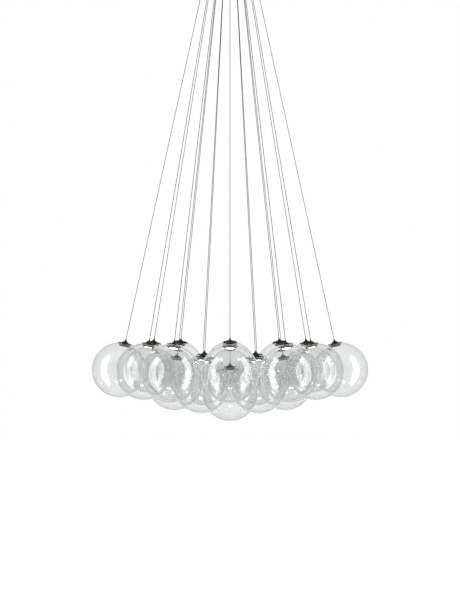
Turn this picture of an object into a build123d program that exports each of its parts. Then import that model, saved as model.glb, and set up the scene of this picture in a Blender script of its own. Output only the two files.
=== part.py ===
from build123d import *

import os
from math import cos, hypot, radians, sin, sqrt

# Cluster pendant: nineteen clear glass globes in a hexagonal cluster, each on its own
# straight cable, under one round ceiling canopy.
# Millimetres. +Z is up. The origin is the centre of the ceiling plate's upper face.

# ---------------------------------------------------------------- driving dimensions
# glass globes
globe_diameter = 200.0
glass_wall = 2.5
glass_opening = 47.0
globe_gap = 0.5

# how the cluster hangs: heights above the middle globe's centre
cable_drop = 1520.0
inner_ring_rise = 39.5
outer_ring_rise = 86.0
outlet_pitch = 44.0
inner_ring_count = 6

# cable
cable_diameter = 2.0
cable_gap = 0.3

# cap of a lamp head, which closes the globe's opening
cap_diameter = 52.0
cap_rim = 2.0
cap_rise = 9.4
cap_sag = 2.4
cap_skirt_depth = 3.6
cap_body_depth = 10.4
cap_end_diameter = 36.6
cap_cavity_diameter = 32.4
cap_cavity_depth = 5.6
cap_lip = 1.4
cap_window_diameter = 30.4
glass_clearance = 0.3
opening_clearance = 0.9

# what the cap carries
gland_foot_diameter = 9.6
gland_tip_diameter = 4.6
gland_height = 7.8
gland_sag = 0.9
stem_diameter = 6.0
stem_length = 4.8
gasket_width = 1.4
gasket_recess = 1.6
board_thickness = 1.6
chip_diameter = 18.0
chip_thickness = 0.8
diffuser_rim = 1.2
diffuser_face_drop = 1.2
seat_gap = 0.1
clip_count = 3
clip_width = 6.0
clip_thickness = 0.6
clip_reach = 4.4

# canopy
canopy_diameter = 250.0
canopy_height = 45.0
canopy_wall = 2.0
canopy_edge_radius = 3.0
plate_thickness = 2.0
plate_clearance = 0.6
fixing_circle_diameter = 210.0
fixing_hole = 5.5
fixing_count = 4
tab_count = 3
tab_width = 20.0
tab_length = 16.0
tab_thickness = 1.8
tab_start_angle = 270
cover_screw_diameter = 4.0
cover_screw_level = -11.0
cover_screw_length = 8.0
cover_screw_head_diameter = 7.5
cover_screw_head_height = 2.4
screw_clearance = 0.1
screw_hole_clearance = 0.5

# cable grips in the canopy
grip_flange_diameter = 14.0
grip_flange_thickness = 1.6
grip_nose_diameter = 10.0
grip_tip_diameter = 7.0
grip_length = 10.0
grip_stem_diameter = 8.0
grip_stem_height = 5.0
grip_mouth_diameter = 4.4
grip_mouth_depth = 2.0
grip_clearance = 0.1
nut_across_flats = 11.0
nut_thickness = 3.5

# wiring and power supply inside the canopy
board_lift = 8.4
wiring_board_diameter = 216.0
wiring_board_thickness = 1.6
wire_hole_diameter = 3.0
spacer_inset = 7.0
spacer_count = 4
spacer_across_flats = 6.0
terminal_size = 8.0
terminal_height = 6.0
driver_length = 150.0
driver_width = 42.0
driver_height = 21.0
driver_offset = 54.0
driver_ear = 10.0
driver_ear_thickness = 2.0
driver_corner = 2.5
small_screw_diameter = 3.0
small_screw_head_diameter = 5.6
small_screw_head_height = 1.8
screw_end_gap = 0.3
mains_hole_diameter = 16.0
grommet_bore = 9.0
grommet_flange = 22.0
grommet_lip = 1.6
block_offset = 42.0
block_length = 36.0
block_width = 16.0
block_height = 13.0
block_poles = 3
block_pole_hole = 3.6
block_screw_hole = 4.4
block_screw_depth = 5.0
lead_diameter = 4.0
lead_overhang = 19.0
output_overhang = 13.0
lead_level = -10.0
lead_bend_share = 0.45
earth_screw_offset = 30.0

# ---------------------------------------------------------------- derived sizes
globe_radius = globe_diameter / 2
glass_inside = globe_radius - glass_wall
opening_radius = glass_opening / 2
globe_pitch = globe_diameter + globe_gap
cable_radius = cable_diameter / 2

cover_underside = -canopy_height
cover_floor = cover_underside + canopy_wall
outlet_level = cover_underside - grip_length
middle_level = outlet_level - cable_drop
canopy_radius = canopy_diameter / 2
canopy_inside = canopy_radius - canopy_wall
plate_radius = canopy_inside - plate_clearance
plate_underside = -plate_thickness
board_underside = cover_floor + board_lift
board_top = board_underside + wiring_board_thickness
spacer_radius = wiring_board_diameter / 2 - spacer_inset

cap_radius = cap_diameter / 2
seat_level = sqrt(globe_radius**2 - cap_radius**2)
rim_level = seat_level + glass_clearance
shoulder_level = rim_level + cap_rise
body_radius = opening_radius - opening_clearance
skirt_level = rim_level - cap_skirt_depth
body_level = rim_level - cap_body_depth
cap_end_radius = cap_end_diameter / 2
cap_end_level = body_level - cap_lip
window_radius = cap_window_diameter / 2
cavity_radius = cap_cavity_diameter / 2
cavity_level = body_level + cap_cavity_depth
cable_hole_radius = cable_radius + cable_gap
stem_hole_radius = stem_diameter / 2 + screw_clearance
recess_level = rim_level + gasket_recess
recess_radius = opening_radius + gasket_width + opening_clearance
cable_end_level = cavity_level + cable_gap


def glass_height(radius):
    """Height of the glass's outer surface above the globe's centre, at a radius from its axis."""
    return sqrt(globe_radius**2 - radius**2)


# ---------------------------------------------------------------- where the pendants hang
def pendant_place(ring, angle, rise):
    """Globe's centre, with Z along the cable and X outwards. ring is counted in pitches."""
    outwards = Vector(cos(angle), sin(angle), 0)
    centre = outwards * (ring * globe_pitch) + Vector(0, 0, middle_level + rise)
    outlet = outwards * (ring * outlet_pitch) + Vector(0, 0, outlet_level)
    across = Vector(-sin(angle), cos(angle), 0)
    along = outlet - centre
    return Plane(origin=centre, x_dir=across.cross(along), z_dir=along)


def cable_reach(ring, rise):
    """Distance from a globe's centre to its cable's outlet."""
    return hypot(ring * (globe_pitch - outlet_pitch), cable_drop - rise)


def outlet_point(ring, angle):
    """Where a cable leaves the canopy."""
    return (ring * outlet_pitch * cos(angle), ring * outlet_pitch * sin(angle))


corner_angles = [radians(step * 60) for step in range(6)]
edge_angles = [radians(step * 60 + 30) for step in range(6)]
corner_ring = 2
edge_ring = sqrt(3)

inner_spots = [(0, 0.0, 0.0)]
for step in range(inner_ring_count):
    inner_spots.append((1, radians(step * 360 / inner_ring_count), inner_ring_rise))
outer_spots = []
for corner_angle, edge_angle in zip(corner_angles, edge_angles):
    outer_spots.append((corner_ring, corner_angle, outer_ring_rise))
    outer_spots.append((edge_ring, edge_angle, outer_ring_rise))

inner_places = [pendant_place(*spot) for spot in inner_spots]
outer_places = [pendant_place(*spot) for spot in outer_spots]
outlet_points = [outlet_point(ring, angle) for ring, angle, rise in inner_spots + outer_spots]


# ---------------------------------------------------------------- one pendant, at its own centre
# Hollow blown globe with a round opening at the top.
with BuildPart() as globe:
    with BuildSketch(Plane.XZ):
        with BuildLine():
            outer_lip = (opening_radius, glass_height(opening_radius))
            inner_lip = (opening_radius, sqrt(glass_inside**2 - opening_radius**2))
            ThreePointArc((0, -globe_radius), (globe_radius, 0), outer_lip)
            Line(outer_lip, inner_lip)
            ThreePointArc(inner_lip, (glass_inside, 0), (0, -glass_inside))
            Line((0, -glass_inside), (0, -globe_radius))
        make_face()
    revolve(axis=Axis.Z)

# Turned cap: rim on the glass, concave shoulder up to the gland, body down through the opening.
# A lip round the cavity's mouth keeps the diffuser in.
with BuildPart() as cap:
    with BuildSketch(Plane.XZ):
        with BuildLine():
            SagittaArc(
                (gland_foot_diameter / 2, shoulder_level),
                (cap_radius, rim_level + cap_rim),
                -cap_sag,
            )
            Polyline(
                (cap_radius, rim_level + cap_rim),
                (cap_radius, rim_level),
                (recess_radius, rim_level),
                (recess_radius, recess_level),
                (body_radius, recess_level),
                (body_radius, skirt_level),
                (cap_end_radius, body_level),
                (cap_end_radius, body_level - cap_lip / 2),
                (cap_end_radius - cap_lip / 2, cap_end_level),
                (window_radius, cap_end_level),
                (window_radius, body_level),
                (cavity_radius, body_level),
                (cavity_radius, cavity_level),
                (cable_hole_radius, cavity_level),
                (cable_hole_radius, shoulder_level - stem_length),
                (stem_hole_radius, shoulder_level - stem_length),
                (stem_hole_radius, shoulder_level),
                (gland_foot_diameter / 2, shoulder_level),
            )
        make_face()
    revolve(axis=Axis.Z)

# Cable gland: a waisted nipple that screws into the cap and holds the cable.
with BuildPart() as gland:
    with BuildSketch(Plane.XZ):
        with BuildLine():
            gland_foot_level = shoulder_level + seat_gap
            gland_tip_level = shoulder_level + gland_height
            SagittaArc(
                (gland_tip_diameter / 2, gland_tip_level),
                (gland_foot_diameter / 2, gland_foot_level),
                -gland_sag,
            )
            Polyline(
                (gland_foot_diameter / 2, gland_foot_level),
                (stem_diameter / 2, gland_foot_level),
                (stem_diameter / 2, shoulder_level - stem_length + seat_gap),
                (cable_hole_radius, shoulder_level - stem_length + seat_gap),
                (cable_hole_radius, gland_tip_level),
                (gland_tip_diameter / 2, gland_tip_level),
            )
        make_face()
    revolve(axis=Axis.Z)

# Silicone gasket in the cap's recess, shaped to the glass under it.
with BuildPart() as gasket:
    with BuildSketch(Plane.XZ):
        with BuildLine():
            gasket_inside = opening_radius + seat_gap
            gasket_outside = gasket_inside + gasket_width
            Polyline(
                (gasket_inside, glass_height(gasket_inside) + seat_gap),
                (gasket_outside, glass_height(gasket_outside) + seat_gap),
                (gasket_outside, recess_level - seat_gap),
                (gasket_inside, recess_level - seat_gap),
                close=True,
            )
        make_face()
    revolve(axis=Axis.Z)

# Round LED board against the cavity's roof, with its emitter on the lower side.
with BuildPart() as led_board:
    with BuildSketch(Plane.XY.offset(cavity_level - seat_gap)):
        Circle(cavity_radius - seat_gap)
    extrude(amount=-board_thickness)
    with BuildSketch(Plane.XY.offset(cavity_level - seat_gap - board_thickness)):
        Circle(chip_diameter / 2)
    extrude(amount=-chip_thickness)

# Opal diffuser: its rim snaps in behind the cap's lip, and its face looks out through the window.
with BuildPart() as diffuser:
    with BuildSketch(Plane.XY.offset(body_level + seat_gap)):
        Circle(cavity_radius - seat_gap)
    extrude(amount=diffuser_rim)
    with BuildSketch(Plane.XY.offset(body_level + seat_gap)):
        Circle(window_radius - seat_gap)
    extrude(amount=-diffuser_face_drop)

# Leaf springs on the body, bent up against the inside of the glass.
with BuildPart() as clip:
    clip_root = (body_radius + seat_gap + clip_thickness / 2, skirt_level + clip_thickness)
    clip_bend = (body_radius + clip_reach / 2, skirt_level - clip_thickness)
    clip_tip_radius = body_radius + clip_reach
    clip_tip_level = sqrt(glass_inside**2 - clip_tip_radius**2) - glass_clearance - clip_thickness
    with BuildSketch(Plane.XZ):
        with BuildLine():
            Polyline(clip_root, clip_bend, (clip_tip_radius, clip_tip_level))
            offset(amount=clip_thickness / 2, side=Side.BOTH)
        make_face()
    extrude(amount=clip_width / 2, both=True)

with BuildPart() as clips:
    with PolarLocations(0, clip_count):
        add(clip.part)

# One globe with the gasket that stays on its mouth, as separate solids.
with BuildPart() as sealed_globe:
    add(globe.part)
    add(gasket.part)

# Everything else inside and on top of one globe's opening, as separate solids.
with BuildPart() as lamp_head:
    for piece in (cap, gland, led_board, diffuser, clips):
        add(piece.part)


def straight_cable(reach):
    """Cable from the lamp head up to its outlet, with a round end there that turns in the grip."""
    with BuildPart() as cable:
        with BuildSketch(Plane.XZ):
            with BuildLine():
                Polyline((0, reach + cable_radius), (0, cable_end_level), (cable_radius, cable_end_level))
                Line((cable_radius, cable_end_level), (cable_radius, reach))
                ThreePointArc(
                    (cable_radius, reach),
                    (cable_radius * sin(radians(45)), reach + cable_radius * sin(radians(45))),
                    (0, reach + cable_radius),
                )
            make_face()
        revolve(axis=Axis.Z)
    return cable.part


# ---------------------------------------------------------------- canopy
def around(radius, angle, level):
    """Plane at a radius from the canopy's axis, facing straight outwards."""
    outwards = Vector(cos(angle), sin(angle), 0)
    return Plane(origin=outwards * radius + Vector(0, 0, level), z_dir=outwards)


tab_angles = [radians(tab_start_angle + step * 360 / tab_count) for step in range(tab_count)]
tab_radius = sqrt(plate_radius**2 - (tab_width / 2) ** 2)
driver_screw_reach = driver_length / 2 + driver_ear / 2
driver_screw_spots = [(-driver_screw_reach, -driver_offset), (driver_screw_reach, -driver_offset)]
earth_screw_spot = (0, earth_screw_offset)
small_hole_radius = small_screw_diameter / 2 + screw_clearance

# Steel ceiling plate with its fixing holes, the mains entry and three bent screw tabs.
with BuildPart() as ceiling_plate:
    with BuildSketch(Plane.XY):
        Circle(plate_radius)
        Circle(mains_hole_diameter / 2, mode=Mode.SUBTRACT)
        with PolarLocations(fixing_circle_diameter / 2, fixing_count):
            Circle(fixing_hole / 2, mode=Mode.SUBTRACT)
        with Locations(earth_screw_spot, *driver_screw_spots):
            Circle(small_hole_radius, mode=Mode.SUBTRACT)
    extrude(amount=-plate_thickness)
    with BuildSketch(Plane.XY.offset(plate_underside)):
        with PolarLocations(tab_radius - tab_thickness / 2, tab_count, start_angle=tab_start_angle):
            Rectangle(tab_thickness, tab_width)
    extrude(amount=-tab_length)
    for angle in tab_angles:
        with BuildSketch(around(tab_radius, angle, cover_screw_level)):
            Circle(cover_screw_diameter / 2 + screw_clearance)
        extrude(amount=-tab_thickness, mode=Mode.SUBTRACT)

# Spun canopy cover: flat underside with an outlet for each cable, and a plain skirt.
with BuildPart() as canopy_cover:
    with BuildSketch(Plane.XY.offset(cover_underside)):
        Circle(canopy_radius)
    extrude(amount=canopy_height)
    fillet(canopy_cover.edges().group_by(Axis.Z)[0], canopy_edge_radius)
    with BuildSketch(Plane.XY.offset(cover_floor)):
        Circle(canopy_inside)
    extrude(amount=canopy_height - canopy_wall, mode=Mode.SUBTRACT)
    with BuildSketch(Plane.XY.offset(cover_floor)):
        with Locations(*outlet_points):
            Circle(grip_stem_diameter / 2 + grip_clearance)
    extrude(amount=-canopy_wall, mode=Mode.SUBTRACT)
    for angle in tab_angles:
        with BuildSketch(around(canopy_radius, angle, cover_screw_level)):
            Circle((cover_screw_diameter + screw_hole_clearance) / 2)
        extrude(amount=-2 * canopy_wall, mode=Mode.SUBTRACT)

# Pan-head screw through the skirt into a tab.
with BuildPart() as cover_screw:
    with BuildSketch(Plane.XY.offset(seat_gap)):
        Circle(cover_screw_head_diameter / 2)
    extrude(amount=cover_screw_head_height)
    fillet(cover_screw.edges().group_by(Axis.Z)[-1], cover_screw_head_height / 2)
    with BuildSketch(Plane.XY.offset(seat_gap)):
        Circle(cover_screw_diameter / 2)
    extrude(amount=-cover_screw_length)

# Cable grip: tapered nose with a flared mouth under the cover, threaded stem above it.
with BuildPart() as cable_grip:
    with BuildSketch(Plane.XZ):
        with BuildLine():
            grip_top = grip_length + canopy_wall + grip_stem_height
            Polyline(
                (grip_mouth_diameter / 2, 0),
                (grip_tip_diameter / 2, 0),
                (grip_nose_diameter / 2, grip_length - grip_flange_thickness),
                (grip_flange_diameter / 2, grip_length - grip_flange_thickness),
                (grip_flange_diameter / 2, grip_length),
                (grip_stem_diameter / 2, grip_length),
                (grip_stem_diameter / 2, grip_top),
                (cable_hole_radius, grip_top),
                (cable_hole_radius, grip_mouth_depth),
                close=True,
            )
        make_face()
    revolve(axis=Axis.Z)

# Nut that clamps a grip to the cover.
with BuildPart() as grip_nut:
    with BuildSketch(Plane.XY):
        RegularPolygon(nut_across_flats / 2, 6, major_radius=False)
        Circle(grip_stem_diameter / 2 + grip_clearance, mode=Mode.SUBTRACT)
    extrude(amount=nut_thickness)

# Cable tail from the outlet up through the grip and the wiring board.
with BuildPart() as cable_tail:
    tail_start = outlet_level + cable_radius + cable_gap
    with BuildSketch(Plane.XY.offset(tail_start)):
        Circle(cable_radius)
    extrude(amount=board_top - seat_gap - tail_start)

# Round wiring board that shares the supply out among the cables.
spacer_start_angle = 45
with BuildPart() as wiring_board:
    with BuildSketch(Plane.XY.offset(board_underside)):
        Circle(wiring_board_diameter / 2)
        with Locations(*outlet_points):
            Circle(wire_hole_diameter / 2, mode=Mode.SUBTRACT)
        with PolarLocations(spacer_radius, spacer_count, start_angle=spacer_start_angle):
            Circle(small_hole_radius, mode=Mode.SUBTRACT)
    extrude(amount=wiring_board_thickness)

# Hexagonal spacers under the board, each with a nib that snaps through it.
with BuildPart() as board_spacers:
    with BuildSketch(Plane.XY.offset(cover_floor)):
        with PolarLocations(spacer_radius, spacer_count, start_angle=spacer_start_angle):
            RegularPolygon(spacer_across_flats / 2, 6, major_radius=False)
    extrude(amount=board_lift)
    with BuildSketch(Plane.XY.offset(board_underside)):
        with PolarLocations(spacer_radius, spacer_count, start_angle=spacer_start_angle):
            Circle(small_screw_diameter / 2)
    extrude(amount=2 * wiring_board_thickness)

# Push-in terminals on the board, one over each cable tail.
with BuildPart() as wire_terminals:
    with BuildSketch(Plane.XY.offset(board_top)):
        with Locations(*outlet_points):
            Rectangle(terminal_size, terminal_size)
    extrude(amount=terminal_height)
    with BuildSketch(Plane.XY.offset(board_top + terminal_height)):
        with Locations(*outlet_points):
            Rectangle(terminal_size / 2, terminal_size / 4)
    extrude(amount=-terminal_height / 4, mode=Mode.SUBTRACT)

# LED driver in a closed case with two fixing ears.
with BuildPart() as led_driver:
    with BuildSketch(Plane.XY.offset(plate_underside)):
        with Locations((0, -driver_offset)):
            RectangleRounded(driver_length, driver_width, driver_corner)
    extrude(amount=-driver_height)
    with BuildSketch(Plane.XY.offset(plate_underside)):
        with Locations((0, -driver_offset)):
            Rectangle(driver_length + 2 * driver_ear, driver_width / 2)
        with Locations(*driver_screw_spots):
            Circle(small_hole_radius, mode=Mode.SUBTRACT)
    extrude(amount=-driver_ear_thickness)


def small_screw(spot, head_level):
    """Small screw pointing up, its head's upper face at head_level and its end in the plate."""
    with BuildPart() as screw:
        with BuildSketch(Plane.XY.offset(head_level)):
            with Locations(spot):
                Circle(small_screw_head_diameter / 2)
        extrude(amount=-small_screw_head_height)
        with BuildSketch(Plane.XY.offset(head_level)):
            with Locations(spot):
                Circle(small_screw_diameter / 2)
        extrude(amount=-head_level - screw_end_gap)
    return screw.part


driver_screw_level = plate_underside - driver_ear_thickness
driver_screw_pair = [small_screw(spot, driver_screw_level) for spot in driver_screw_spots]
with BuildPart() as driver_screws:
    add(driver_screw_pair)

earth_screw = small_screw(earth_screw_spot, plate_underside)

# Mains terminal block with three through poles and their clamping screws' wells.
with BuildPart() as terminal_block:
    with BuildSketch(Plane.XY.offset(plate_underside)):
        with Locations((0, block_offset)):
            Rectangle(block_length, block_width)
    extrude(amount=-block_height)
    pole_pitch = block_length / (block_poles + 1)
    with BuildSketch(Plane.XZ.offset(-block_offset)):
        with Locations((0, plate_underside - block_height / 2)):
            with GridLocations(pole_pitch, 0, block_poles, 1):
                Circle(block_pole_hole / 2)
    extrude(amount=block_width / 2, both=True, mode=Mode.SUBTRACT)
    with BuildSketch(Plane.XY.offset(plate_underside - block_height)):
        with Locations((0, block_offset)):
            with GridLocations(pole_pitch, block_width / 2, block_poles, 2):
                Circle(block_screw_hole / 2)
    extrude(amount=block_screw_depth, mode=Mode.SUBTRACT)

# Rubber bush in the mains entry.
with BuildPart() as mains_grommet:
    with BuildSketch(Plane.XY):
        Circle(mains_hole_diameter / 2 - seat_gap)
    extrude(amount=-plate_thickness - grommet_lip)
    with BuildSketch(Plane.XY.offset(plate_underside)):
        Circle(grommet_flange / 2)
    extrude(amount=-grommet_lip)
    with BuildSketch(Plane.XY):
        Circle(grommet_bore / 2)
    extrude(amount=-plate_thickness - grommet_lip, mode=Mode.SUBTRACT)

# Two short leads: terminal block to driver, and driver to wiring board.
with BuildPart() as driver_leads:
    lead_side = driver_length / 2 + lead_overhang
    output_side = driver_length / 2 + output_overhang
    with BuildLine() as input_route:
        FilletPolyline(
            (driver_length / 2, -driver_offset, lead_level),
            (lead_side, -driver_offset, lead_level),
            (lead_side, block_offset, lead_level),
            (block_length / 2, block_offset, lead_level),
            radius=[lead_bend_share * lead_overhang, lead_bend_share * (lead_side - block_length / 2)],
        )
    with BuildSketch(Plane(origin=input_route.line @ 0, z_dir=input_route.line % 0)):
        Circle(lead_diameter / 2)
    sweep(path=input_route.line)
    with BuildLine() as output_route:
        FilletPolyline(
            (-driver_length / 2, -driver_offset, lead_level),
            (-output_side, -driver_offset, lead_level),
            (-output_side, -driver_offset, board_top),
            radius=lead_bend_share * output_overhang,
        )
    with BuildSketch(Plane(origin=output_route.line @ 0, z_dir=output_route.line % 0)):
        Circle(lead_diameter / 2)
    sweep(path=output_route.line)


# ---------------------------------------------------------------- the whole pendant
def placed(piece, places):
    """One piece set at each place, as separate solids."""
    with BuildPart() as group:
        with Locations(*places):
            add(piece)
    return group.part


screw_places = [around(canopy_radius, angle, cover_screw_level) for angle in tab_angles]
outlet_places = [Vector(x, y, outlet_level) for x, y in outlet_points]
nut_places = [Vector(x, y, cover_floor) for x, y in outlet_points]
tail_places = [Vector(x, y, 0) for x, y in outlet_points]

pieces = {
    "ceiling_plate": ceiling_plate.part,
    "mains_grommet": mains_grommet.part,
    "terminal_block": terminal_block.part,
    "earth_screw": earth_screw,
    "led_driver": led_driver.part,
    "driver_screws": driver_screws.part,
    "driver_leads": driver_leads.part,
    "canopy_cover": canopy_cover.part,
    "cover_screws": placed(cover_screw.part, screw_places),
    "wiring_board": wiring_board.part,
    "board_spacers": board_spacers.part,
    "wire_terminals": wire_terminals.part,
    "cable_grips": placed(cable_grip.part, outlet_places),
    "grip_nuts": placed(grip_nut.part, nut_places),
    "cable_tails": placed(cable_tail.part, tail_places),
}

# The seven inner pendants, which their neighbours hold still, share a node for each kind of piece.
pieces["inner_globes"] = placed(globe.part, inner_places)
pieces["inner_caps"] = placed(cap.part, inner_places)
pieces["inner_glands"] = placed(gland.part, inner_places)
pieces["inner_gaskets"] = placed(gasket.part, inner_places)
pieces["inner_led_boards"] = placed(led_board.part, inner_places)
pieces["inner_diffusers"] = placed(diffuser.part, inner_places)
pieces["inner_clips"] = placed(clips.part, inner_places)
middle_cable = straight_cable(cable_reach(0, 0))
inner_ring_cable = straight_cable(cable_reach(1, inner_ring_rise))
with BuildPart() as inner_cables:
    with Locations(inner_places[0]):
        add(middle_cable)
    with Locations(*inner_places[1:]):
        add(inner_ring_cable)
pieces["inner_cables"] = inner_cables.part

# The twelve outer pendants swing out one by one, so each has its own nodes.
for number, (spot, place) in enumerate(zip(outer_spots, outer_places), start=1):
    ring, angle, rise = spot
    pieces[f"globe_{number:02d}"] = placed(sealed_globe.part, [place])
    pieces[f"lamp_head_{number:02d}"] = placed(lamp_head.part, [place])
    pieces[f"cable_{number:02d}"] = placed(straight_cable(cable_reach(ring, rise)), [place])

os.makedirs("parts", exist_ok=True)
for name, piece in pieces.items():
    piece.label = name
    export_step(piece, f"parts/{name}.step")
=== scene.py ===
from math import asin, atan2, cos, hypot, pi, radians, sin, sqrt

import bmesh
import bpy
from mathutils import Euler, Matrix, Vector


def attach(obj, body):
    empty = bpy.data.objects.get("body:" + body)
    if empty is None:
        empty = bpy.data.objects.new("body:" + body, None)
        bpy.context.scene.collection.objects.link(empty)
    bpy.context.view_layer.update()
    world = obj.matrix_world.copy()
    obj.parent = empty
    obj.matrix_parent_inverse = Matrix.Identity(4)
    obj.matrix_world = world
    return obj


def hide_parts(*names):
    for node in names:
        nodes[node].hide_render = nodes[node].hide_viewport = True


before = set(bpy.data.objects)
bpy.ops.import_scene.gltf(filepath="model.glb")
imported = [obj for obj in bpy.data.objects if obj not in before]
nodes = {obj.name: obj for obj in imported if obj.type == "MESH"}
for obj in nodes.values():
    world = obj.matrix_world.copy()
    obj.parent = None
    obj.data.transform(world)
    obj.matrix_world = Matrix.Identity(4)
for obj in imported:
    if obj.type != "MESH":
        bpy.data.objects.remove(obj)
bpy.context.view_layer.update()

# ------------------------------------------------------------------ ceiling plate
# Round zinc-plated steel plate that screws to the ceiling and carries everything else.
# Three bent tabs take the cover's screws. It lies in the cover's skirt, level with its top.
MASK_LOW = 0.3
MASK_HIGH = 0.7


def new_material(name):
    """A material with its Principled shader, ready for a finish."""
    material = bpy.data.materials.new(name)
    material.use_nodes = True
    tree = material.node_tree
    return material, tree, tree.nodes["Principled BSDF"]


def scuff_group():
    """Shader group: broad cloudy tone and fine scratches, for any handled or plated surface."""
    group = bpy.data.node_groups.new("Scuffs", "ShaderNodeTree")
    for socket, value in (("Cloud scale", 20.0), ("Scratch scale", 300.0), ("Cloud share", 0.6)):
        entry = group.interface.new_socket(socket, in_out="INPUT", socket_type="NodeSocketFloat")
        entry.default_value = value
    group.interface.new_socket("Mask", in_out="OUTPUT", socket_type="NodeSocketFloat")
    make = group.nodes.new
    link = group.links.new
    inputs = make("NodeGroupInput")
    outputs = make("NodeGroupOutput")
    place = make("ShaderNodeTexCoord")
    clouds = make("ShaderNodeTexNoise")
    clouds.inputs["Detail"].default_value = 4.0
    stretch = make("ShaderNodeMapping")
    stretch.inputs["Scale"].default_value = (1.0, 1.0, 12.0)
    scratches = make("ShaderNodeTexNoise")
    scratches.inputs["Detail"].default_value = 2.0
    blend = make("ShaderNodeMix")
    link(place.outputs["Object"], clouds.inputs["Vector"])
    link(place.outputs["Object"], stretch.inputs["Vector"])
    link(stretch.outputs["Vector"], scratches.inputs["Vector"])
    link(inputs.outputs["Cloud scale"], clouds.inputs["Scale"])
    link(inputs.outputs["Scratch scale"], scratches.inputs["Scale"])
    link(inputs.outputs["Cloud share"], blend.inputs["Factor"])
    link(scratches.outputs["Fac"], blend.inputs["A"])
    link(clouds.outputs["Fac"], blend.inputs["B"])
    link(blend.outputs["Result"], outputs.inputs["Mask"])
    return group


scuffs = scuff_group()


def spread_by_mask(tree, mask, low, high, target):
    """Drive a shader input between two values by a mask."""
    spread = tree.nodes.new("ShaderNodeMapRange")
    spread.inputs["From Min"].default_value = MASK_LOW
    spread.inputs["From Max"].default_value = MASK_HIGH
    spread.inputs["To Min"].default_value = low
    spread.inputs["To Max"].default_value = high
    tree.links.new(mask, spread.inputs["Value"])
    tree.links.new(spread.outputs["Result"], target)


def tint_by_mask(tree, mask, dark, light, target):
    """Drive a colour input between two colours by a mask."""
    tint = tree.nodes.new("ShaderNodeValToRGB")
    tint.color_ramp.elements[0].position = MASK_LOW
    tint.color_ramp.elements[1].position = MASK_HIGH
    tint.color_ramp.elements[0].color = (*dark, 1.0)
    tint.color_ramp.elements[1].color = (*light, 1.0)
    tree.links.new(mask, tint.inputs["Fac"])
    tree.links.new(tint.outputs["Color"], target)


def worn_mask(tree, cloud_scale, scratch_scale):
    """The mask of the scuffs, at a finish's own scales."""
    wear = tree.nodes.new("ShaderNodeGroup")
    wear.node_tree = scuffs
    wear.inputs["Cloud scale"].default_value = cloud_scale
    wear.inputs["Scratch scale"].default_value = scratch_scale
    return wear.outputs["Mask"]


def raise_relief(tree, shader, height, strength, distance):
    """Fine relief on a surface, from a height that changes over it."""
    relief = tree.nodes.new("ShaderNodeBump")
    relief.inputs["Strength"].default_value = strength
    relief.inputs["Distance"].default_value = distance
    tree.links.new(height, relief.inputs["Height"])
    tree.links.new(relief.outputs["Normal"], shader.inputs["Normal"])


def finish_with_scuffs(name, dark, light, smooth, rough, metallic, cloud_scale, scratch_scale, bump=0.0):
    """A worn metal or moulded finish whose tone and gloss drift a little over the surface."""
    material, tree, shader = new_material(name)
    mask = worn_mask(tree, cloud_scale, scratch_scale)
    shader.inputs["Metallic"].default_value = metallic
    tint_by_mask(tree, mask, dark, light, shader.inputs["Base Color"])
    spread_by_mask(tree, mask, smooth, rough, shader.inputs["Roughness"])
    if bump:
        raise_relief(tree, shader, mask, strength=bump, distance=0.0002)
    return material


def dress(node, material):
    """Give a CAD node its finish."""
    slots = nodes[node].data.materials
    slots.clear()
    slots.append(material)


zinc = finish_with_scuffs(
    "zinc plating", (0.42, 0.43, 0.45), (0.66, 0.66, 0.64),
    smooth=0.28, rough=0.5, metallic=1.0, cloud_scale=60.0, scratch_scale=400.0, bump=0.1,
)
dress("ceiling_plate", zinc)

# ------------------------------------------------------------------ mains entry
# Rubber bush in the plate's middle hole, a nylon terminal block beside it, and the earth screw.
# They sit inside the canopy and show only when the cover is down.
rubber = finish_with_scuffs(
    "black rubber", (0.012, 0.012, 0.012), (0.03, 0.03, 0.029),
    smooth=0.55, rough=0.75, metallic=0.0, cloud_scale=80.0, scratch_scale=500.0,
)
nylon = finish_with_scuffs(
    "moulded nylon", (0.74, 0.74, 0.7), (0.82, 0.82, 0.79),
    smooth=0.4, rough=0.5, metallic=0.0, cloud_scale=50.0, scratch_scale=300.0,
)
dress("mains_grommet", rubber)
dress("terminal_block", nylon)
dress("earth_screw", zinc)

# ------------------------------------------------------------------ driver and wiring board
# Closed LED driver screwed under the plate, its leads, and the round board that shares the
# supply out through one push-in terminal for each cable. The board stands on nylon spacers.
driver_case = finish_with_scuffs(
    "driver case", (0.7, 0.7, 0.68), (0.78, 0.78, 0.76),
    smooth=0.35, rough=0.5, metallic=0.0, cloud_scale=30.0, scratch_scale=250.0, bump=0.2,
)
lead_sheath = finish_with_scuffs(
    "lead sheath", (0.6, 0.6, 0.58), (0.68, 0.68, 0.66),
    smooth=0.4, rough=0.55, metallic=0.0, cloud_scale=40.0, scratch_scale=300.0,
)
solder_mask = finish_with_scuffs(
    "solder mask", (0.01, 0.09, 0.045), (0.02, 0.13, 0.07),
    smooth=0.2, rough=0.35, metallic=0.0, cloud_scale=90.0, scratch_scale=700.0,
)
dress("led_driver", driver_case)
dress("driver_screws", zinc)
dress("driver_leads", lead_sheath)
dress("wiring_board", solder_mask)
dress("board_spacers", nylon)
dress("wire_terminals", nylon)

# ------------------------------------------------------------------ canopy cover
# Spun steel cover, powder coated warm black to match the caps, with a grip for each cable.
# Three blackened screws hold its skirt to the plate's tabs.
WARM_BLACK_DARK = (0.027, 0.022, 0.014)
WARM_BLACK_LIGHT = (0.042, 0.035, 0.024)


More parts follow.
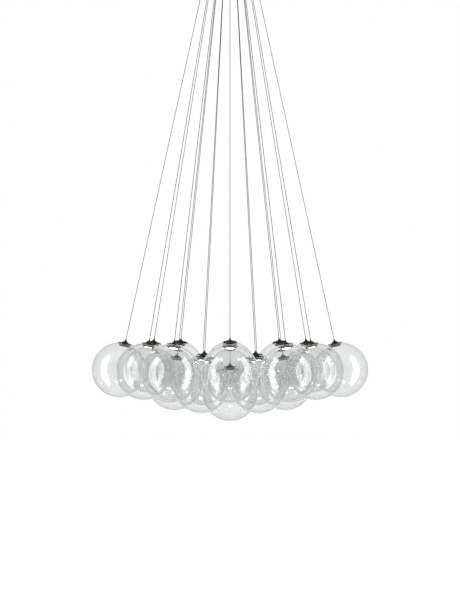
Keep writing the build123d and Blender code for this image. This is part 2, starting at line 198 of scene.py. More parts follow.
def powder_coat():
    """Satin powder coat: fine orange-peel grain over an even warm black."""
    material, tree, shader = new_material("powder coat")
    place = tree.nodes.new("ShaderNodeTexCoord")
    grain = tree.nodes.new("ShaderNodeTexNoise")
    grain.inputs["Scale"].default_value = 900.0
    grain.inputs["Detail"].default_value = 2.0
    mask = worn_mask(tree, cloud_scale=14.0, scratch_scale=200.0)
    tree.links.new(place.outputs["Object"], grain.inputs["Vector"])
    raise_relief(tree, shader, grain.outputs["Fac"], strength=0.35, distance=0.0003)
    tint_by_mask(tree, mask, WARM_BLACK_DARK, WARM_BLACK_LIGHT, shader.inputs["Base Color"])
    spread_by_mask(tree, mask, low=0.42, high=0.56, target=shader.inputs["Roughness"])
    return material


blackened = finish_with_scuffs(
    "blackened steel", (0.02, 0.02, 0.02), (0.05, 0.048, 0.045),
    smooth=0.3, rough=0.45, metallic=0.9, cloud_scale=90.0, scratch_scale=500.0,
)
dress("canopy_cover", powder_coat())
dress("cover_screws", blackened)

# ------------------------------------------------------------------ cable grips
# Turned black grips with a flared mouth, one in each outlet, and the zinc nuts that clamp them.
turned_black = finish_with_scuffs(
    "turned black", WARM_BLACK_DARK, WARM_BLACK_LIGHT,
    smooth=0.3, rough=0.44, metallic=0.35, cloud_scale=120.0, scratch_scale=900.0, bump=0.1,
)
dress("cable_grips", turned_black)
dress("grip_nuts", zinc)

# ------------------------------------------------------------------ cables
# Nineteen thin two-core cables with a matt black sheath, each pulled straight by its globe
# from the mouth of its grip to its lamp head. Their slopes spread the cluster out.
GLOBE_RADIUS = 0.100
GLOBE_PITCH = 0.2005
OUTLET_PITCH = 0.044
OUTLET_LEVEL = -0.055
CABLE_DROP = 1.520
INNER_RING_RISE = 0.0395
OUTER_RING_RISE = 0.086
CABLE_DIAMETER = 0.002
CAP_RADIUS = 0.026
CAP_CLEARANCE = 0.0003
CABLE_DEPTH = 0.0045
RIM_LEVEL = sqrt(GLOBE_RADIUS**2 - CAP_RADIUS**2) + CAP_CLEARANCE
CABLE_END = RIM_LEVEL - CABLE_DEPTH
CORNERS = 6
CORNER_DEGREES = 360 / CORNERS
SHEATH_DARK = (0.022, 0.021, 0.02)
SHEATH_LIGHT = (0.04, 0.038, 0.035)

# Each spot: how many pitches from the middle, at what angle, how far above the middle globe.
inner_ring = [(1, radians(CORNER_DEGREES * step), INNER_RING_RISE) for step in range(CORNERS)]
outer_ring = []
for step in range(CORNERS):
    outer_ring.append((2, radians(CORNER_DEGREES * step), OUTER_RING_RISE))
    outer_ring.append((sqrt(3), radians(CORNER_DEGREES * (step + 0.5)), OUTER_RING_RISE))


def hanging_place(ring, angle, rise):
    """A pendant's globe centre, its cable's outlet, and the turn that stands it along its cable."""
    outwards = Vector((cos(angle), sin(angle), 0.0))
    centre = outwards * ring * GLOBE_PITCH + Vector((0, 0, OUTLET_LEVEL - CABLE_DROP + rise))
    outlet = outwards * ring * OUTLET_PITCH + Vector((0, 0, OUTLET_LEVEL))
    lean = atan2(ring * (GLOBE_PITCH - OUTLET_PITCH), CABLE_DROP - rise)
    turn = Matrix.Rotation(angle, 3, "Z") @ Matrix.Rotation(-lean, 3, "Y")
    return centre, outlet, turn


# Each body with its pendants' places; the seven inner pendants hang on the canopy's body.
hung = {"canopy": [hanging_place(0, 0.0, 0.0)] + [hanging_place(*spot) for spot in inner_ring]}
for number, spot in enumerate(outer_ring, start=1):
    hung[f"pendant_{number:02d}"] = [hanging_place(*spot)]


def cable_sheath():
    """Matt black sheath with a fine knitted relief."""
    material, tree, shader = new_material("cable sheath")
    place = tree.nodes.new("ShaderNodeTexCoord")
    knit = tree.nodes.new("ShaderNodeTexWave")
    knit.bands_direction = "Z"
    knit.inputs["Scale"].default_value = 900.0
    knit.inputs["Distortion"].default_value = 3.0
    tree.links.new(place.outputs["Object"], knit.inputs["Vector"])
    raise_relief(tree, shader, knit.outputs["Fac"], strength=0.3, distance=0.0001)
    tint_by_mask(tree, knit.outputs["Fac"], SHEATH_DARK, SHEATH_LIGHT, shader.inputs["Base Color"])
    spread_by_mask(tree, knit.outputs["Fac"], low=0.5, high=0.7, target=shader.inputs["Roughness"])
    return material


sheath = cable_sheath()
dress("cable_tails", sheath)


def taut_cable(name, outlet, end):
    """A straight cable from its outlet to its end, as one open curve."""
    curve = bpy.data.curves.new(name, "CURVE")
    curve.dimensions = "3D"
    curve.bevel_depth = CABLE_DIAMETER / 2
    curve.bevel_resolution = 3
    curve.use_fill_caps = True
    spline = curve.splines.new("NURBS")
    spline.points.add(2)
    for point, place in zip(spline.points, (outlet, (outlet + end) / 2, end)):
        point.co = (*place, 1.0)
    spline.order_u = 3
    spline.use_endpoint_u = True
    curve.materials.append(sheath)
    cable = bpy.data.objects.new(name, curve)
    bpy.context.scene.collection.objects.link(cable)
    return cable


for body, places in hung.items():
    for count, (centre, outlet, turn) in enumerate(places):
        end = centre + turn @ Vector((0, 0, CABLE_END))
        own = body != "canopy"
        name = f"hanging_cable_{body[-2:]}" if own else f"hanging_cable_inner_{count}"
        cable = taut_cable(name, outlet, end)
        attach(cable, body)
        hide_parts(f"cable_{body[-2:]}" if own else "inner_cables")

# ------------------------------------------------------------------ cable glands
# Small waisted nipple screwed into each cap; it grips the cable where it enters.
# Turned from aluminium and anodised warm black, with fine turning rings round it.
SEAT_GAP = 0.0001
CAP_HEIGHT = 0.0094
SHOULDER_LEVEL = RIM_LEVEL + CAP_HEIGHT
CABLE_CLEARANCE = 0.0003
CABLE_HOLE = CABLE_DIAMETER / 2 + CABLE_CLEARANCE
GLAND_FOOT = 0.0048
GLAND_TIP = 0.0023
GLAND_HEIGHT = 0.0078
GLAND_WAIST = 0.0009
GLAND_STEPS = 10
GLAND_EDGE = 0.0003
TURNED_SIDES = 64
SMALL_SIDES = 40
EASED_SHARE = 0.3
NEARLY_STRAIGHT = radians(150)
ON_AXIS = 1e-6
WELD = 1e-7
SLIVER = 1e-8
MILLIMETRES = 1000


def arc_between(start, end, sag, steps):
    """Points from start to end along a shallow bow; a positive sag bows it to the left."""
    start = Vector(start)
    end = Vector(end)
    chord = end - start
    left = Vector((-chord.y, chord.x)).normalized()
    points = []
    for step in range(steps + 1):
        share = step / steps
        points.append(start + chord * share + left * sag * 4 * share * (1 - share))
    return [tuple(point) for point in points]


def eased_corners(outline, radius, steps=3):
    """The closed outline with each sharp corner rounded a little, as a tool leaves it."""
    eased = []
    for index, corner in enumerate(outline):
        corner = Vector(corner)
        before = Vector(outline[index - 1]) - corner
        after = Vector(outline[(index + 1) % len(outline)]) - corner
        turn = before.angle(after)
        reach = min(radius, before.length * EASED_SHARE, after.length * EASED_SHARE)
        if turn > NEARLY_STRAIGHT or corner.x < ON_AXIS:
            eased.append(tuple(corner))
            continue
        start = corner + before.normalized() * reach
        end = corner + after.normalized() * reach
        for step in range(steps + 1):
            share = step / steps
            bend = start.lerp(corner, share).lerp(corner.lerp(end, share), share)
            eased.append(tuple(bend))
    return eased


def turned_mesh(name, outline, sides=TURNED_SIDES):
    """Spin a closed outline of (radius, height) points round Z, with UV along it in millimetres."""
    mesh = bpy.data.meshes.new(name)
    shape = bmesh.new()
    layer = shape.loops.layers.uv.new("UVMap")
    along = [0.0]
    for start, end in zip(outline, outline[1:] + outline[:1]):
        along.append(along[-1] + hypot(end[0] - start[0], end[1] - start[1]) * MILLIMETRES)
    rings = []
    for side in range(sides):
        angle = 2 * pi * side / sides
        rings.append([shape.verts.new((r * cos(angle), r * sin(angle), z)) for r, z in outline])
    for side in range(sides):
        ring, after = rings[side], rings[(side + 1) % sides]
        for index in range(len(outline)):
            ahead = (index + 1) % len(outline)
            if outline[index][0] < ON_AXIS and outline[ahead][0] < ON_AXIS:
                continue
            face = shape.faces.new((ring[index], after[index], after[ahead], ring[ahead]))
            face.smooth = True
            corners = ((side, index), (side + 1, index), (side + 1, index + 1), (side, index + 1))
            for loop, (across, down) in zip(face.loops, corners):
                loop[layer].uv = (across / sides, along[down])
    bmesh.ops.remove_doubles(shape, verts=shape.verts, dist=WELD)
    bmesh.ops.dissolve_degenerate(shape, edges=shape.edges, dist=SLIVER)
    bmesh.ops.recalc_face_normals(shape, faces=shape.faces)
    shape.to_mesh(mesh)
    shape.free()
    return mesh


def hanging_tree():
    """Geometry Nodes tree: one piece stood at each place, turned along its cable."""
    tree = bpy.data.node_groups.new("Hang on the cables", "GeometryNodeTree")
    tree.interface.new_socket("Places", in_out="INPUT", socket_type="NodeSocketGeometry")
    tree.interface.new_socket("Piece", in_out="INPUT", socket_type="NodeSocketObject")
    tree.interface.new_socket("Finish", in_out="INPUT", socket_type="NodeSocketMaterial")
    tree.interface.new_socket("Pieces", in_out="OUTPUT", socket_type="NodeSocketGeometry")
    make = tree.nodes.new
    link = tree.links.new
    inputs = make("NodeGroupInput")
    outputs = make("NodeGroupOutput")
    piece = make("GeometryNodeObjectInfo")
    turn = make("GeometryNodeInputNamedAttribute")
    turn.data_type = "FLOAT_VECTOR"
    turn.inputs["Name"].default_value = "turn"
    stand = make("GeometryNodeInstanceOnPoints")
    real = make("GeometryNodeRealizeInstances")
    paint = make("GeometryNodeSetMaterial")
    to_turn = make("FunctionNodeEulerToRotation")
    link(inputs.outputs["Places"], stand.inputs["Points"])
    link(inputs.outputs["Piece"], piece.inputs["Object"])
    link(piece.outputs["Geometry"], stand.inputs["Instance"])
    link(turn.outputs["Attribute"], to_turn.inputs["Euler"])
    link(to_turn.outputs["Rotation"], stand.inputs["Rotation"])
    link(stand.outputs["Instances"], real.inputs["Geometry"])
    link(real.outputs["Geometry"], paint.inputs["Geometry"])
    link(inputs.outputs["Finish"], paint.inputs["Material"])
    link(paint.outputs["Geometry"], outputs.inputs["Pieces"])
    return tree


hang_on_cables = hanging_tree()


def hang(kind, mesh, material, inner_node, outer_node):
    """Hang one kind of piece on every pendant: one finished mesh for each body."""
    pattern = bpy.data.objects.new(kind + "_pattern", mesh)
    bpy.context.scene.collection.objects.link(pattern)
    for body, places in hung.items():
        suffix = "inner" if body == "canopy" else body[-2:]
        points = bpy.data.meshes.new("places")
        points.from_pydata([centre for centre, outlet, turn in places], [], [])
        turns = points.attributes.new("turn", "FLOAT_VECTOR", "POINT")
        for entry, (centre, outlet, turn) in zip(turns.data, places):
            entry.vector = turn.to_euler()
        carrier = bpy.data.objects.new("carrier", points)
        bpy.context.scene.collection.objects.link(carrier)
        hanging = carrier.modifiers.new("Hang", "NODES")
        hanging.node_group = hang_on_cables
        for item in hang_on_cables.interface.items_tree:
            if item.name == "Piece":
                hanging[item.identifier] = pattern
            if item.name == "Finish":
                hanging[item.identifier] = material
        ready = carrier.evaluated_get(bpy.context.evaluated_depsgraph_get())
        plain = bpy.data.meshes.new_from_object(ready)
        bpy.data.objects.remove(carrier)
        name = f"{kind}_{suffix}"
        plain.name = name
        piece = bpy.data.objects.new(name, plain)
        bpy.context.scene.collection.objects.link(piece)
        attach(piece, body)
        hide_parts(inner_node if body == "canopy" else outer_node + suffix)
    bpy.data.objects.remove(pattern)


def turned_finish(name, dark, light, smooth, rough, metallic, ring_pitch):
    """A turned and anodised finish: fine rings along the outline, broken by soft clouds."""
    material, tree, shader = new_material(name)
    run = tree.nodes.new("ShaderNodeUVMap")
    run.uv_map = "UVMap"
    across = tree.nodes.new("ShaderNodeMapping")
    across.inputs["Scale"].default_value = (0.6, 1.0 / ring_pitch, 1.0)
    rings = tree.nodes.new("ShaderNodeTexNoise")
    rings.noise_dimensions = "2D"
    rings.inputs["Scale"].default_value = 1.0
    rings.inputs["Detail"].default_value = 3.0
    tree.links.new(run.outputs["UV"], across.inputs["Vector"])
    tree.links.new(across.outputs["Vector"], rings.inputs["Vector"])
    raise_relief(tree, shader, rings.outputs["Fac"], strength=0.25, distance=0.00005)
    shader.inputs["Metallic"].default_value = metallic
    mask = worn_mask(tree, cloud_scale=160.0, scratch_scale=900.0)
    tint_by_mask(tree, mask, dark, light, shader.inputs["Base Color"])
    spread_by_mask(tree, rings.outputs["Fac"], smooth, rough, shader.inputs["Roughness"])
    return material


anodised = turned_finish(
    "anodised warm black", WARM_BLACK_DARK, WARM_BLACK_LIGHT,
    smooth=0.3, rough=0.42, metallic=0.3, ring_pitch=0.25,
)

gland_foot_level = SHOULDER_LEVEL + SEAT_GAP
gland_tip_level = SHOULDER_LEVEL + GLAND_HEIGHT
gland_outline = arc_between(
    (GLAND_TIP, gland_tip_level), (GLAND_FOOT, gland_foot_level), -GLAND_WAIST, GLAND_STEPS
)
gland_outline += [(CABLE_HOLE, gland_foot_level), (CABLE_HOLE, gland_tip_level)]
gland_mesh = turned_mesh("gland", eased_corners(gland_outline, GLAND_EDGE), SMALL_SIDES)
hang("gland", gland_mesh, anodised, "inner_glands", "lamp_head_")

# ------------------------------------------------------------------ caps
# Turned aluminium cap, anodised warm black: its rim lies on the glass, its top sweeps up in
# a hollow curve to the gland, and its body goes down through the opening. A lip round the
# cavity's mouth keeps the diffuser in.
CAP_RIM = 0.002
CAP_SAG = 0.0024
CAP_STEPS = 14
CAP_EDGE = 0.0005
CAP_END = 0.0183
CAP_LIP = 0.0014
OPENING_RADIUS = 0.0235
BODY_CLEARANCE = 0.0009
BODY_RADIUS = OPENING_RADIUS - BODY_CLEARANCE
SKIRT_DEPTH = 0.0036
SKIRT_LEVEL = RIM_LEVEL - SKIRT_DEPTH
BODY_DEPTH = 0.0104
BODY_LEVEL = RIM_LEVEL - BODY_DEPTH
WINDOW_RADIUS = 0.0152
CAVITY_RADIUS = 0.0162
CAVITY_DEPTH = 0.0056
CAVITY_LEVEL = BODY_LEVEL + CAVITY_DEPTH
RECESS_MARGIN = 0.0023
RECESS_RADIUS = OPENING_RADIUS + RECESS_MARGIN
RECESS_DEPTH = 0.0016
RECESS_LEVEL = RIM_LEVEL + RECESS_DEPTH

cap_outline = arc_between(
    (GLAND_FOOT, SHOULDER_LEVEL), (CAP_RADIUS, RIM_LEVEL + CAP_RIM), -CAP_SAG, CAP_STEPS
)
cap_outline += [
    (CAP_RADIUS, RIM_LEVEL),
    (RECESS_RADIUS, RIM_LEVEL),
    (RECESS_RADIUS, RECESS_LEVEL),
    (BODY_RADIUS, RECESS_LEVEL),
    (BODY_RADIUS, SKIRT_LEVEL),
    (CAP_END, BODY_LEVEL),
    (CAP_END, BODY_LEVEL - CAP_LIP / 2),
    (CAP_END - CAP_LIP / 2, BODY_LEVEL - CAP_LIP),
    (WINDOW_RADIUS, BODY_LEVEL - CAP_LIP),
    (WINDOW_RADIUS, BODY_LEVEL),
    (CAVITY_RADIUS, BODY_LEVEL),
    (CAVITY_RADIUS, CAVITY_LEVEL),
    (CABLE_HOLE, CAVITY_LEVEL),
    (CABLE_HOLE, SHOULDER_LEVEL),
]
cap_mesh = turned_mesh("cap", eased_corners(cap_outline, CAP_EDGE))
hang("cap", cap_mesh, anodised, "inner_caps", "lamp_head_")

# ------------------------------------------------------------------ LED boards
# Round aluminium-cored board under the cavity's roof, with a white solder mask and one
# raised emitter in the middle. The diffuser hides it.
BOARD_THICKNESS = 0.0016
BOARD_EDGE = 0.0002
CHIP_RADIUS = 0.009
CHIP_THICKNESS = 0.0008
board_top = CAVITY_LEVEL - SEAT_GAP
board_under = board_top - BOARD_THICKNESS
board_outline = [
    (0.0, board_top),
    (CAVITY_RADIUS - SEAT_GAP, board_top),
    (CAVITY_RADIUS - SEAT_GAP, board_under),
    (CHIP_RADIUS, board_under),
    (CHIP_RADIUS, board_under - CHIP_THICKNESS),
    (0.0, board_under - CHIP_THICKNESS),
]
board_white = finish_with_scuffs(
    "board white", (0.72, 0.72, 0.7), (0.8, 0.8, 0.78),
    smooth=0.3, rough=0.45, metallic=0.0, cloud_scale=200.0, scratch_scale=900.0,
)
board_mesh = turned_mesh("board", eased_corners(board_outline, BOARD_EDGE), SMALL_SIDES)
hang("led_board", board_mesh, board_white, "inner_led_boards", "lamp_head_")

# ------------------------------------------------------------------ diffusers
# Opal disc in the cap's lower face, lit warm white from behind. It is brightest in the
# middle and warmer towards its edge, where the emitter's light reaches it at a slant.
DIFFUSER_RIM = 0.0012
DIFFUSER_DROP = 0.0012
DIFFUSER_CROWN = 0.0005
DIFFUSER_EDGE = WINDOW_RADIUS - SEAT_GAP
DIFFUSER_LEVEL = BODY_LEVEL + SEAT_GAP
DIFFUSER_BOW = 0.0001
DIFFUSER_STEPS = 6
DIFFUSER_SIDES = 48
LAMP_STRENGTH = 9.0
LIT_EDGE = (1.0, 0.66, 0.36)
LIT_MIDDLE = (1.0, 0.93, 0.8)
LIT_EDGE_SHARE = 0.35

diffuser_face = DIFFUSER_LEVEL - DIFFUSER_DROP
diffuser_outline = [
    (0.0, DIFFUSER_LEVEL + DIFFUSER_RIM),
    (CAVITY_RADIUS - SEAT_GAP, DIFFUSER_LEVEL + DIFFUSER_RIM),
    (CAVITY_RADIUS - SEAT_GAP, DIFFUSER_LEVEL),
    (DIFFUSER_EDGE, DIFFUSER_LEVEL),
]
diffuser_outline += arc_between(
    (DIFFUSER_EDGE, diffuser_face + DIFFUSER_CROWN), (0.0, diffuser_face), DIFFUSER_BOW, DIFFUSER_STEPS
)


def lit_opal():
    """Glowing opal: the light falls off and warms from the middle outwards."""
    material, tree, shader = new_material("lit opal")
    run = tree.nodes.new("ShaderNodeUVMap")
    run.uv_map = "UVMap"
    split = tree.nodes.new("ShaderNodeSeparateXYZ")
    glow = tree.nodes.new("ShaderNodeValToRGB")
    # The face begins this far along the outline, past the disc's back, its rim and its step.
    seen_start = (
        2 * (CAVITY_RADIUS - SEAT_GAP) - DIFFUSER_EDGE + DIFFUSER_RIM + DIFFUSER_DROP - DIFFUSER_CROWN
    )
    edge_start = MILLIMETRES * seen_start
    near = tree.nodes.new("ShaderNodeMapRange")
    near.inputs["From Min"].default_value = edge_start
    near.inputs["From Max"].default_value = edge_start + MILLIMETRES * DIFFUSER_EDGE
    glow.color_ramp.elements[0].position = 0.0
    glow.color_ramp.elements[0].color = (*LIT_EDGE, 1.0)
    glow.color_ramp.elements[1].position = LIT_EDGE_SHARE
    glow.color_ramp.elements[1].color = (*LIT_MIDDLE, 1.0)
    tree.links.new(run.outputs["UV"], split.inputs["Vector"])
    tree.links.new(split.outputs["Y"], near.inputs["Value"])
    tree.links.new(near.outputs["Result"], glow.inputs["Fac"])
    tree.links.new(glow.outputs["Color"], shader.inputs["Emission Color"])
    shader.inputs["Emission Strength"].default_value = LAMP_STRENGTH
    shader.inputs["Base Color"].default_value = (0.85, 0.84, 0.8, 1.0)
    shader.inputs["Roughness"].default_value = 0.35
    return material


diffuser_mesh = turned_mesh("diffuser", diffuser_outline, DIFFUSER_SIDES)
hang("diffuser", diffuser_mesh, lit_opal(), "inner_diffusers", "lamp_head_")

# ------------------------------------------------------------------ gaskets
# Dark silicone ring in the cap's recess, shaped to the glass that it seals against. It stays
# on the globe's mouth.
GASKET_INSIDE = OPENING_RADIUS + SEAT_GAP
GASKET_WIDTH = 0.0014
GASKET_OUTSIDE = GASKET_INSIDE + GASKET_WIDTH
GASKET_EDGE = 0.0002


def glass_height(radius):
    """Height of the glass's outer surface at a radius from the globe's axis."""
    return sqrt(GLOBE_RADIUS**2 - radius**2)


gasket_outline = [
    (GASKET_INSIDE, glass_height(GASKET_INSIDE) + SEAT_GAP),
    (GASKET_OUTSIDE, glass_height(GASKET_OUTSIDE) + SEAT_GAP),
    (GASKET_OUTSIDE, RECESS_LEVEL - SEAT_GAP),
    (GASKET_INSIDE, RECESS_LEVEL - SEAT_GAP),
]
silicone = finish_with_scuffs(
    "silicone", (0.045, 0.043, 0.04), (0.065, 0.062, 0.058),
    smooth=0.4, rough=0.55, metallic=0.0, cloud_scale=150.0, scratch_scale=600.0,
)
gasket_mesh = turned_mesh("gasket", eased_corners(gasket_outline, GASKET_EDGE))
hang("gasket", gasket_mesh, silicone, "inner_gaskets", "globe_")

# ------------------------------------------------------------------ spring clips
# Three bent leaves of spring steel on each cap's body; they press up inside the glass and
# keep the globe from dropping off.
CLIP_COUNT = 3
CLIP_WIDTH = 0.006
CLIP_THICKNESS = 0.0006
CLIP_REACH = 0.0044
CLIP_CLEARANCE = 0.0003
CLIP_STEPS = 8
GLASS_WALL = 0.0025
GLASS_INSIDE = GLOBE_RADIUS - GLASS_WALL
clip_tip_radius = BODY_RADIUS + CLIP_REACH
clip_line = [
    (BODY_RADIUS + SEAT_GAP + CLIP_THICKNESS / 2, SKIRT_LEVEL + CLIP_THICKNESS),
    (BODY_RADIUS + CLIP_REACH / 2, SKIRT_LEVEL - CLIP_THICKNESS),
    (clip_tip_radius, sqrt(GLASS_INSIDE**2 - clip_tip_radius**2) - CLIP_CLEARANCE - CLIP_THICKNESS),
]


def clip_set():
    """The three leaves of one cap, each a bent strip with a softened bend."""
    mesh = bpy.data.meshes.new("clips")
    shape = bmesh.new()
    first, bend, last = (Vector(point) for point in clip_line)
    line = []
    for step in range(CLIP_STEPS + 1):
        share = step / CLIP_STEPS
        line.append(first.lerp(bend, share).lerp(bend.lerp(last, share), share))
    for leaf in range(CLIP_COUNT):
        turn = Matrix.Rotation(2 * pi * leaf / CLIP_COUNT, 3, "Z")
        rows = []
        for index, point in enumerate(line):
            ahead = line[min(index + 1, len(line) - 1)] - line[max(index - 1, 0)]
            off = Vector((-ahead.y, ahead.x)).normalized() * CLIP_THICKNESS / 2
            row = []
            for side, cross in ((1, -1), (1, 1), (-1, 1), (-1, -1)):
                spot = point + off * side
                row.append(shape.verts.new(turn @ Vector((spot.x, cross * CLIP_WIDTH / 2, spot.y))))
            rows.append(row)
        for row, after in zip(rows, rows[1:]):
            for edge in range(4):
                ahead = (edge + 1) % 4
                shape.faces.new((row[edge], row[ahead], after[ahead], after[edge]))
        shape.faces.new(rows[0])
        shape.faces.new(rows[-1])
    bmesh.ops.recalc_face_normals(shape, faces=shape.faces)
    shape.to_mesh(mesh)
    shape.free()
    return mesh


spring_steel = finish_with_scuffs(
    "spring steel", (0.12, 0.12, 0.12), (0.2, 0.2, 0.19),
    smooth=0.25, rough=0.4, metallic=1.0, cloud_scale=300.0, scratch_scale=900.0,
)
hang("clips", clip_set(), spring_steel, "inner_clips", "lamp_head_")

# ------------------------------------------------------------------ globes
# Blown clear glass, 200 mm across with a wall of 2.5 mm, and a round opening at the top.
# The glass has a faint green body colour that builds up where globes overlap.
GLASS_TINT = (0.95, 0.944, 0.947)
GLASS_BODY = (0.1, 0.42, 0.33)
GLASS_DENSITY = 17.0
GLASS_SIDES = 112
OUTER_ROWS = 60
INNER_ROWS = 50


def globe_outline():
    """Closed outline of the hollow globe, from its bottom up the outside and down the inside."""
    outer_end = asin(OPENING_RADIUS / GLOBE_RADIUS)
    inner_end = asin(OPENING_RADIUS / GLASS_INSIDE)
    outline = []
    for row in range(OUTER_ROWS + 1):
        angle = pi + (outer_end - pi) * row / OUTER_ROWS
        outline.append((GLOBE_RADIUS * sin(angle), GLOBE_RADIUS * cos(angle)))
    for row in range(INNER_ROWS + 1):
        angle = inner_end + (pi - inner_end) * row / INNER_ROWS
        outline.append((GLASS_INSIDE * sin(angle), GLASS_INSIDE * cos(angle)))
    outline[0] = (0.0, -GLOBE_RADIUS)
    outline[-1] = (0.0, -GLASS_INSIDE)
    return outline


def clear_glass():
    """Clear glass whose surface keeps the faint waves of blowing."""
    material, tree, shader = new_material("clear glass")
    place = tree.nodes.new("ShaderNodeTexCoord")
    waves = tree.nodes.new("ShaderNodeTexNoise")
    waves.inputs["Scale"].default_value = 18.0
    waves.inputs["Detail"].default_value = 1.0
    tree.links.new(place.outputs["Object"], waves.inputs["Vector"])
    raise_relief(tree, shader, waves.outputs["Fac"], strength=0.02, distance=0.001)
    shader.inputs["Base Color"].default_value = (*GLASS_TINT, 1.0)
    shader.inputs["Roughness"].default_value = 0.0
    shader.inputs["IOR"].default_value = 1.5
    shader.inputs["Transmission Weight"].default_value = 1.0
    body = tree.nodes.new("ShaderNodeVolumeAbsorption")
    body.inputs["Color"].default_value = (*GLASS_BODY, 1.0)
    body.inputs["Density"].default_value = GLASS_DENSITY
    tree.links.new(body.outputs["Volume"], tree.nodes["Material Output"].inputs["Volume"])
    return material


globe_mesh = turned_mesh("globe", globe_outline(), GLASS_SIDES)
hang("glass_globe", globe_mesh, clear_glass(), "inner_globes", "globe_")

# ------------------------------------------------------------------ studio
# Plain pale floor, two tall soft lamps at the sides, and a white backdrop. Glass and gloss also
# see a darker front, which draws the globes' edges, and all other light is an even grey.
FLOOR_LEVEL = -4.25
FLOOR_REACH = 30.0
FLOOR_PAINT = 0.85
FLOOR_ROUGHNESS = 0.8
FLOOR_GLOW = 0.9
SOFTBOX_WIDTH = 1.15
SOFTBOX_HEIGHT = 5.2
SOFTBOX_SIDE = 2.0
SOFTBOX_FORWARD = -0.835
SOFTBOX_POWER = 56.0
SURROUND = 0.35
# How bright the front is and between which headings, along Y, the front turns into the backdrop.
GLOSS_FRONT = 0.1
GLOSS_FADE = (0.9, 0.98)
GLASS_FRONT = 0.4
GLASS_FADE = (-1.0, -0.4)
CLUSTER_LEVEL = OUTLET_LEVEL - CABLE_DROP

floor_mesh = bpy.data.meshes.new("floor")
floor_mesh.from_pydata(
    [(-FLOOR_REACH, -FLOOR_REACH, FLOOR_LEVEL), (FLOOR_REACH, -FLOOR_REACH, FLOOR_LEVEL),
     (FLOOR_REACH, FLOOR_REACH, FLOOR_LEVEL), (-FLOOR_REACH, FLOOR_REACH, FLOOR_LEVEL)],
    [], [(0, 1, 2, 3)],
)
floor = bpy.data.objects.new("floor", floor_mesh)
bpy.context.scene.collection.objects.link(floor)
floor_paint, floor_tree, floor_shader = new_material("floor paint")
floor_shader.inputs["Base Color"].default_value = (FLOOR_PAINT, FLOOR_PAINT, FLOOR_PAINT, 1.0)
floor_shader.inputs["Roughness"].default_value = FLOOR_ROUGHNESS
floor_shader.inputs["Emission Color"].default_value = (1.0, 1.0, 1.0, 1.0)
floor_seen = floor_tree.nodes.new("ShaderNodeLightPath")
floor_glow = floor_tree.nodes.new("ShaderNodeMath")
floor_glow.operation = "MULTIPLY"
floor_glow.inputs[1].default_value = FLOOR_GLOW
floor_tree.links.new(floor_seen.outputs["Is Camera Ray"], floor_glow.inputs[0])
floor_tree.links.new(floor_glow.outputs["Value"], floor_shader.inputs["Emission Strength"])
floor.visible_glossy = False
floor.visible_transmission = False
floor_mesh.materials.append(floor_paint)

for side in (-1, 1):
    lamp = bpy.data.lights.new("softbox", "AREA")
    lamp.shape = "RECTANGLE"
    lamp.size = SOFTBOX_WIDTH
    lamp.size_y = SOFTBOX_HEIGHT
    lamp.energy = SOFTBOX_POWER
    softbox = bpy.data.objects.new("softbox", lamp)
    softbox.location = (side * SOFTBOX_SIDE, SOFTBOX_FORWARD, CLUSTER_LEVEL)
    softbox.rotation_euler = Euler((radians(90), 0, radians(90 * side)))
    bpy.context.scene.collection.objects.link(softbox)

world = bpy.data.worlds.new("studio")
bpy.context.scene.world = world
world.use_nodes = True
sky = world.node_tree
backdrop = sky.nodes["Background"]
backdrop.inputs["Color"].default_value = (1.0, 1.0, 1.0, 1.0)
backdrop.inputs["Strength"].default_value = 1.0
surround = sky.nodes.new("ShaderNodeBackground")
surround.inputs["Color"].default_value = (SURROUND, SURROUND, SURROUND, 1.0)
ray = sky.nodes.new("ShaderNodeLightPath")
place = sky.nodes.new("ShaderNodeTexCoord")
heading = sky.nodes.new("ShaderNodeSeparateXYZ")
sky.links.new(place.outputs["Generated"], heading.inputs["Vector"])


def backdrop_seen(start, end, front):
    """White behind the pendants and darker in front of them, blending between two headings."""
    fade = sky.nodes.new("ShaderNodeMapRange")
    fade.interpolation_type = "SMOOTHSTEP"
    fade.inputs["From Min"].default_value = start
    fade.inputs["From Max"].default_value = end
    fade.inputs["To Min"].default_value = front
    fade.inputs["To Max"].default_value = 1.0
    sky.links.new(heading.outputs["Y"], fade.inputs["Value"])
    half = sky.nodes.new("ShaderNodeBackground")
    sky.links.new(fade.outputs["Result"], half.inputs["Color"])
    return half.outputs["Background"]


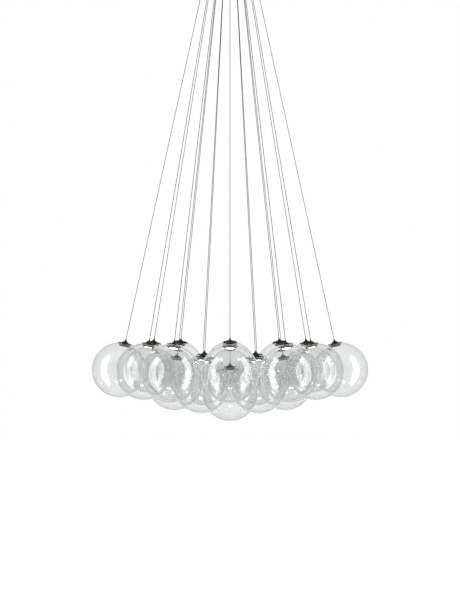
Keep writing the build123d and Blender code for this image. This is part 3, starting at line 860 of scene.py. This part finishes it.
def chosen(kind, otherwise, seen):
    """What one kind of ray sees, and what every other kind sees."""
    choice = sky.nodes.new("ShaderNodeMixShader")
    sky.links.new(ray.outputs[kind], choice.inputs["Fac"])
    sky.links.new(otherwise, choice.inputs[1])
    sky.links.new(seen, choice.inputs[2])
    return choice.outputs["Shader"]


light = chosen("Is Glossy Ray", surround.outputs["Background"], backdrop_seen(*GLOSS_FADE, GLOSS_FRONT))
light = chosen("Is Transmission Ray", light, backdrop_seen(*GLASS_FADE, GLASS_FRONT))
light = chosen("Is Camera Ray", light, backdrop.outputs["Background"])
sky.links.new(light, sky.nodes["World Output"].inputs["Surface"])

# ------------------------------------------------------------------ camera
# Level, as many globe pitches away and above the cluster as the photograph's lines say. The
# horizon lies a little below the middle of the picture, so the lens is shifted.
FRAME_HEIGHT = 613
FOCAL_PIXELS = 1460.0
HORIZON_PIXELS = 13.4
SENSOR = 36.0
PITCHES_AWAY = 26.4
PITCHES_ABOVE = 1.33
CAMERA_DISTANCE = PITCHES_AWAY * GLOBE_PITCH
CAMERA_RISE = PITCHES_ABOVE * GLOBE_PITCH
VIEW_SHIFT = HORIZON_PIXELS / FRAME_HEIGHT
GLASS_BOUNCES = 48
GLOSSY_BOUNCES = 12

camera = bpy.data.cameras.new("camera")
camera.sensor_width = SENSOR
camera.lens = FOCAL_PIXELS / FRAME_HEIGHT * SENSOR
camera.shift_y = VIEW_SHIFT
viewer = bpy.data.objects.new("camera", camera)
viewer.location = (0.0, -CAMERA_DISTANCE, CLUSTER_LEVEL + CAMERA_RISE)
viewer.rotation_euler = Euler((radians(90), 0.0, 0.0))
bpy.context.scene.collection.objects.link(viewer)
bpy.context.scene.camera = viewer

# Light has to pass through many walls of glass, one globe behind another.
bpy.context.scene.cycles.max_bounces = GLASS_BOUNCES
bpy.context.scene.cycles.transmission_bounces = GLASS_BOUNCES
bpy.context.scene.cycles.glossy_bounces = GLOSSY_BOUNCES
bpy.context.scene.view_settings.view_transform = "Standard"
